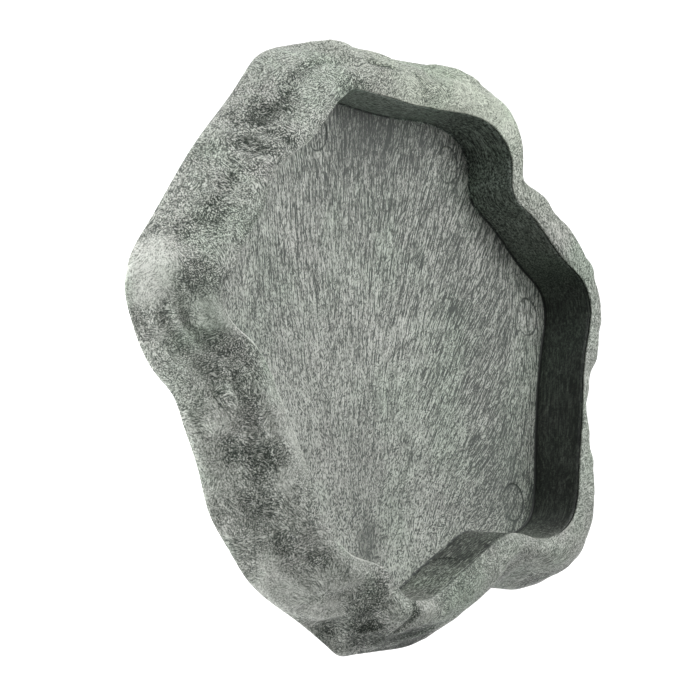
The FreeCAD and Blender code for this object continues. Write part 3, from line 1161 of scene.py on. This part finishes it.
def wall_plastic():
    """The basin's wall: darker, with fine drag lines along the rim, and painted shade that makes it nearly
    black on its right side.
    """
    nodes = Nodes("basin wall plastic")
    place = nodes.millimetres()
    x, y, z = nodes.parts(place)
    drag = hairs(nodes, place, WALL_DRAG, along_rim(nodes))
    specks = hairs(nodes, place, WALL_SPECKS, rock_directions(nodes, 12, 30), (4, 8, 2))
    round_rim = nodes.product(nodes.math("ARCTAN2", y, x), NOISE_RING_RADIUS, BAND_PACE)
    bands = nodes.noise(nodes.join(round_rim, z, 7.0), 6.0, 3, 0.55, 0.8)
    shaded = nodes.product(nodes.spread(x, 58, 72), nodes.spread(y, 5, 30, 1.0, 0.4))
    near_floor = nodes.spread(z, FLOOR_Z + 0.2, FLOOR_Z + 0.8, 1.0, 0.0)
    foot = nodes.product(near_floor, nodes.spread(y, 0, 60, 1.0, 0.2))
    mark = ring_line(nodes, place, [wall_mark_middle()], WALL_MARK_RADIUS)

    # Painted shade on the wall's right side.
    pattern = nodes.math("MULTIPLY_ADD", shaded, -WALL_SHADE_DEPTH, WALL_LEVEL)
    # The tone adds painted light and painted shade to the wall.
    pattern = nodes.math("MULTIPLY_ADD", nodes.tone(), TRAY_TONE_GAIN, pattern)
    pattern = nodes.math("MULTIPLY_ADD", foot, -WALL_LINE_DEPTH, pattern)
    # A line of painted shade round the edge of the wall's mark.
    pattern = nodes.math("MULTIPLY_ADD", mark, -WALL_LINE_DEPTH, pattern)
    pattern = layered(nodes, pattern, [(drag, 2.0), (specks, 1.2)], nodes.spread(shaded, 0, 1, 1.4, 0.6))
    pattern = layered(nodes, pattern, [(bands, 0.5)])
    pattern = nodes.product(pattern, WALL_CONTRAST)
    colour = tinted(nodes, place, nodes.ramp(pattern, WALL_RAMP), 0.4)
    colour = nodes.mix(nodes.spread(y, -20, 40), colour, WALL_TINT, "MULTIPLY")
    grain = nodes.bump(drag, 0.08, 0.5)
    return nodes.finish(colour, nodes.roughness(specks, 0.55, 0.42), grain, 0.4)


def underside_plastic():
    """The hollow underside: the same plastic, duller, with swirls where it cooled."""
    nodes = Nodes("underside plastic")
    place = nodes.millimetres()
    swirls = nodes.noise(place, 9, 4, 0.6, 2.2)
    flecks = nodes.noise(place, 1.2, 3, 0.6)
    colour = nodes.ramp(layered(nodes, 0.5, [(swirls, 0.9), (flecks, 0.6)]), UNDERSIDE_RAMP)
    return nodes.finish(colour, nodes.roughness(flecks, 0.6, 0.5), nodes.bump(flecks, 0.15, 0.4))


def pad_rubber():
    """Black rubber with a faint dusty bloom."""
    nodes = Nodes("pad rubber")
    dust = nodes.noise(nodes.millimetres(), 1.6, 4, 0.65)
    colour = nodes.ramp(dust, RUBBER_RAMP)
    return nodes.finish(colour, nodes.roughness(dust, 0.85, 0.7), nodes.bump(dust, 0.06, 0.4), 0.3)


def studio_floor():
    """A white floor lit from below, as a light table is, and brighter on the dish's left side."""
    nodes = Nodes("studio floor")
    place = nodes.millimetres()
    towards = nodes.measure("DOT_PRODUCT", place, GLOW_SIDE)
    side = nodes.math("MAXIMUM", nodes.math("DIVIDE", towards, nodes.measure("LENGTH", place)), 0.0)
    glow = nodes.math("MULTIPLY_ADD", nodes.product(side, side), GLOW_GAIN, FLOOR_GLOW)
    nodes.put(nodes.shader.inputs["Emission Color"], (1, 1, 1, 1))
    nodes.put(nodes.shader.inputs["Emission Strength"], glow)
    colour = nodes.ramp(nodes.noise(place, 400, 2, 0.5), STUDIO_RAMP)
    roughness = nodes.spread(nodes.noise(place, 20), 0, 1, 0.88, 0.92)
    return nodes.finish(colour, roughness, nodes.bump(colour, 0.01), 0.1)


# Studio

# The studio's floor: its side in metres, its glow, what is added on one side of the dish, and that side.
STUDIO_SIDE = 40
FLOOR_GLOW = 1.05
GLOW_GAIN = 1.7
GLOW_SIDE = (-0.99, -0.14, 0.0)
SURROUNDINGS = (0.10, 0.10, 0.10, 1)

# The camera: its distance and the width it sees at the dish in metres, its sensor, its roll, the place it
# looks at and the direction from there towards it.
VIEW_DISTANCE = 7.0
FRAME_WIDTH = 0.189
SENSOR_WIDTH = 36
CAMERA_ROLL = math.radians(5)
LOOK_AT = Vector((0.47, -0.95, 0)) * MM
VIEW_BACK = Vector((-0.84, 0, 0.54)).normalized()

# Soft panels: (direction towards the panel, distance, side of the square panel, power in watts).
LIGHTS = {
    "overhead panel": ((0.42, 0.16, 0.89), 1.0, 0.8, 9.0),
    "back panel": ((0.15, 0.80, 0.60), 1.0, 0.8, 5.0),
}


def studio():
    """The pale floor, the soft panels, the dim surroundings and the camera."""
    bpy.ops.mesh.primitive_grid_add(x_subdivisions=8, y_subdivisions=8, size=STUDIO_SIDE)
    ground = bpy.context.object
    ground.name = "studio_floor"
    ground.data.materials.append(studio_floor())
    for name, (towards, distance, side, power) in LIGHTS.items():
        light = bpy.data.lights.new(name, "AREA")
        light.size = side
        light.energy = power
        panel = bpy.data.objects.new(name, light)
        direction = Vector(towards).normalized()
        panel.location = direction * distance
        panel.rotation_euler = direction.to_track_quat("Z", "Y").to_euler()
        bpy.context.collection.objects.link(panel)
    world = bpy.data.worlds.new("surroundings")
    world.use_nodes = True
    world.node_tree.nodes["Background"].inputs["Color"].default_value = SURROUNDINGS
    bpy.context.scene.world = world
    bpy.context.scene.view_settings.view_transform = "Standard"
    camera()


def camera():
    """A long lens on the photograph's line of sight, rolled so that the dish stands on its edge."""
    level = Vector((0, 1, 0))
    upward = VIEW_BACK.cross(level).normalized()
    turned_right = -upward * math.cos(CAMERA_ROLL) - level * math.sin(CAMERA_ROLL)
    turned_up = VIEW_BACK.cross(turned_right)
    lens = bpy.data.cameras.new("camera")
    lens.sensor_width = SENSOR_WIDTH
    lens.lens = SENSOR_WIDTH * VIEW_DISTANCE / FRAME_WIDTH
    view = bpy.data.objects.new("camera", lens)
    axes = Matrix((turned_right, turned_up, VIEW_BACK)).transposed()
    view.matrix_world = Matrix.Translation(LOOK_AT + VIEW_BACK * VIEW_DISTANCE) @ axes.to_4x4()
    bpy.context.collection.objects.link(view)
    bpy.context.scene.camera = view


# The dish

RIM_RADIUS = radius_from_axis(SHELL, (SEAM_Z + RIM_Z) / 2)
RIM_EDGE = RIM_RADIUS + rim_wander()

rock = rock_plastic()
wall = wall_plastic()
underside = underside_plastic()

skin = rock_skin([rock, wall, underside])
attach(skin, "root")
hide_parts("rock_shell")

tray = basin_tray([floor_plastic(), wall, underside])
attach(tray, "root")
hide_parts("basin_tray")

rubber = pad_rubber()
for name in PADS:
    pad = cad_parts[name]
    for slot in pad.material_slots:
        slot.material = rubber

studio()
